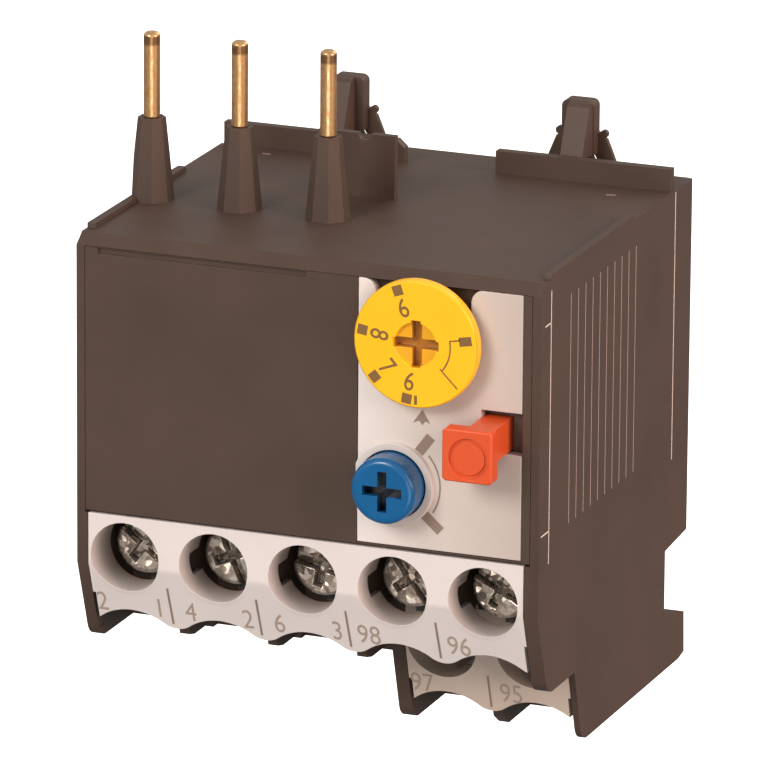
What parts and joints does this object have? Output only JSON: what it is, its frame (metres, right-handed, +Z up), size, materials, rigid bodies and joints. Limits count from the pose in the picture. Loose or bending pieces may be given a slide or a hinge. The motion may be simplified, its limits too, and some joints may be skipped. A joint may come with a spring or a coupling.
{
  "type": "thermal overload relay",
  "caption": "Box-shaped overload relay with plug pins and latch hooks on top, a setting dial, reset and test buttons and two tiers of screw terminals.",
  "frame": {"origin": "on the top face, on the centre plane, in the row of the plug pins", "axes": "+X to the right seen from the front, +Y to the back, +Z up along the plug pins"},
  "size_m": [0.045, 0.0449, 0.0622],
  "materials": {
    "housing_brown": "fine moulded grain",
    "cover_black": "satin moulded",
    "light_plate": "satin moulded",
    "brass": "turned, polished tip",
    "bimetal": "rolled strip",
    "heater_alloy": "drawn ribbon",
    "terminal_brass": "stamped",
    "steel": "drawn",
    "dial_yellow": "satin moulded",
    "inner_plastic": "natural moulding",
    "reset_blue": "satin moulded",
    "test_orange": "satin moulded",
    "plated_steel": "nickel plated"
  },
  "bodies": {
    "root": {"housing": "housing_brown", "left_hook": "housing_brown", "right_hook": "housing_brown", "back_cover": "housing_brown", "front_cover": "cover_black", "setting_panel": "light_plate", "upper_terminal_cover": "light_plate", "lower_terminal_cover": "light_plate", "plug_pin_1": "brass", "plug_pin_2": "brass", "plug_pin_3": "brass", "bimetal_1": "bimetal", "bimetal_2": "bimetal", "bimetal_3": "bimetal", "heater_1": "heater_alloy", "heater_2": "heater_alloy", "heater_3": "heater_alloy", "main_terminal_1": "terminal_brass", "main_terminal_2": "terminal_brass", "main_terminal_3": "terminal_brass", "no_terminal_upper": "terminal_brass", "no_terminal_lower": "terminal_brass", "nc_terminal_upper": "terminal_brass", "nc_terminal_lower": "terminal_brass", "crank_pin": "steel"},
    "dial": {"setting_dial": "dial_yellow", "setting_cam": "inner_plastic"},
    "adjuster": {"adjusting_slide": "inner_plastic"},
    "reset_selector": {"reset_sleeve": "inner_plastic"},
    "reset_key": {"reset_button": "reset_blue", "reset_spring": "steel"},
    "test_key": {"test_button": "test_orange", "test_spring": "steel"},
    "trip_bar": {"trip_slide": "inner_plastic"},
    "trip_lever": {"trip_crank": "inner_plastic"},
    "contacts": {"contact_carrier": "inner_plastic", "no_contact_bridge": "terminal_brass", "nc_contact_bridge": "terminal_brass"},
    "clamp_1": {"clamp_1": "plated_steel"},
    "screw_1": {"screw_1": "plated_steel"},
    "clamp_2": {"clamp_2": "plated_steel"},
    "screw_2": {"screw_2": "plated_steel"},
    "clamp_3": {"clamp_3": "plated_steel"},
    "screw_3": {"screw_3": "plated_steel"},
    "clamp_4": {"clamp_4": "plated_steel"},
    "screw_4": {"screw_4": "plated_steel"},
    "clamp_5": {"clamp_5": "plated_steel"},
    "screw_5": {"screw_5": "plated_steel"},
    "clamp_6": {"clamp_6": "plated_steel"},
    "screw_6": {"screw_6": "plated_steel"},
    "clamp_7": {"clamp_7": "plated_steel"},
    "screw_7": {"screw_7": "plated_steel"}
  },
  "joints": [
    {"name": "dial_turn", "type": "hinge", "parent": "root", "child": "dial", "pos_m": [0.01127, -0.016, -0.00608], "axis": [0, -1, 0], "range_deg": [0, 160]},
    {"name": "adjuster_shift", "type": "slide", "parent": "root", "child": "adjuster", "axis": [-1, 0, 0], "range_m": [0, 0.001]},
    {"name": "reset_select", "type": "hinge", "parent": "root", "child": "reset_selector", "pos_m": [0.00856, -0.016, -0.0199], "axis": [0, -1, 0], "range_deg": [0, 95]},
    {"name": "reset_press", "type": "slide", "parent": "reset_selector", "child": "reset_key", "axis": [0, 1, 0], "range_m": [0, 0.002], "stiffness_N_per_m": 300, "springref_m": -0.001},
    {"name": "test_press", "type": "slide", "parent": "root", "child": "test_key", "axis": [0, 1, 0], "range_m": [0, 0.0022], "stiffness_N_per_m": 300, "springref_m": -0.001},
    {"name": "trip_shift", "type": "slide", "parent": "root", "child": "trip_bar", "axis": [1, 0, 0], "range_m": [0, 0.0012]},
    {"name": "lever_turn", "type": "hinge", "parent": "root", "child": "trip_lever", "pos_m": [0.00697, 0.0028, -0.0129], "axis": [0, -1, 0], "range_deg": [0, 8.6]},
    {"name": "contact_lift", "type": "slide", "parent": "root", "child": "contacts", "axis": [0, 0, 1], "range_m": [0, 0.0012]},
    {"name": "clamp_shift_1", "type": "slide", "parent": "root", "child": "clamp_1", "axis": [0, 1, 0], "range_m": [0, 0.0018]},
    {"name": "screw_turn_1", "type": "hinge", "parent": "clamp_1", "child": "screw_1", "pos_m": [-0.0178, -0.009, -0.03025], "axis": [0, 1, 0], "range_deg": [0, 1080]},
    {"name": "clamp_shift_2", "type": "slide", "parent": "root", "child": "clamp_2", "axis": [0, 1, 0], "range_m": [0, 0.0018]},
    {"name": "screw_turn_2", "type": "hinge", "parent": "clamp_2", "child": "screw_2", "pos_m": [-0.00905, -0.009, -0.03025], "axis": [0, 1, 0], "range_deg": [0, 1080]},
    {"name": "clamp_shift_3", "type": "slide", "parent": "root", "child": "clamp_3", "axis": [0, 1, 0], "range_m": [0, 0.0018]},
    {"name": "screw_turn_3", "type": "hinge", "parent": "clamp_3", "child": "screw_3", "pos_m": [-0.0003, -0.009, -0.03025], "axis": [0, 1, 0], "range_deg": [0, 1080]},
    {"name": "clamp_shift_4", "type": "slide", "parent": "root", "child": "clamp_4", "axis": [0, 1, 0], "range_m": [0, 0.0018]},
    {"name": "screw_turn_4", "type": "hinge", "parent": "clamp_4", "child": "screw_4", "pos_m": [0.00845, -0.009, -0.03025], "axis": [0, 1, 0], "range_deg": [0, 1080]},
    {"name": "clamp_shift_5", "type": "slide", "parent": "root", "child": "clamp_5", "axis": [0, 1, 0], "range_m": [0, 0.0018]},
    {"name": "screw_turn_5", "type": "hinge", "parent": "clamp_5", "child": "screw_5", "pos_m": [0.0172, -0.009, -0.03025], "axis": [0, 1, 0], "range_deg": [0, 1080]},
    {"name": "clamp_shift_6", "type": "slide", "parent": "root", "child": "clamp_6", "axis": [0, 1, 0], "range_m": [0, 0.0018]},
    {"name": "screw_turn_6", "type": "hinge", "parent": "clamp_6", "child": "screw_6", "pos_m": [0.0096, 0.0006, -0.038], "axis": [0, 1, 0], "range_deg": [0, 1080]},
    {"name": "clamp_shift_7", "type": "slide", "parent": "root", "child": "clamp_7", "axis": [0, 1, 0], "range_m": [0, 0.0018]},
    {"name": "screw_turn_7", "type": "hinge", "parent": "clamp_7", "child": "screw_7", "pos_m": [0.01835, 0.0006, -0.038], "axis": [0, 1, 0], "range_deg": [0, 1080]}
  ],
  "couplings": [
    {"joint": "dial_turn", "follows": "adjuster_shift", "rad_per_m": 2792},
    {"joint": "lever_turn", "follows": "trip_shift", "rad_per_m": 125},
    {"joint": "contact_lift", "follows": "trip_shift", "ratio": 1},
    {"joint": "screw_turn_1", "follows": "clamp_shift_1", "rad_per_m": 10471},
    {"joint": "screw_turn_2", "follows": "clamp_shift_2", "rad_per_m": 10471},
    {"joint": "screw_turn_3", "follows": "clamp_shift_3", "rad_per_m": 10471},
    {"joint": "screw_turn_4", "follows": "clamp_shift_4", "rad_per_m": 10471},
    {"joint": "screw_turn_5", "follows": "clamp_shift_5", "rad_per_m": 10471},
    {"joint": "screw_turn_6", "follows": "clamp_shift_6", "rad_per_m": 10471},
    {"joint": "screw_turn_7", "follows": "clamp_shift_7", "rad_per_m": 10471}
  ]
}
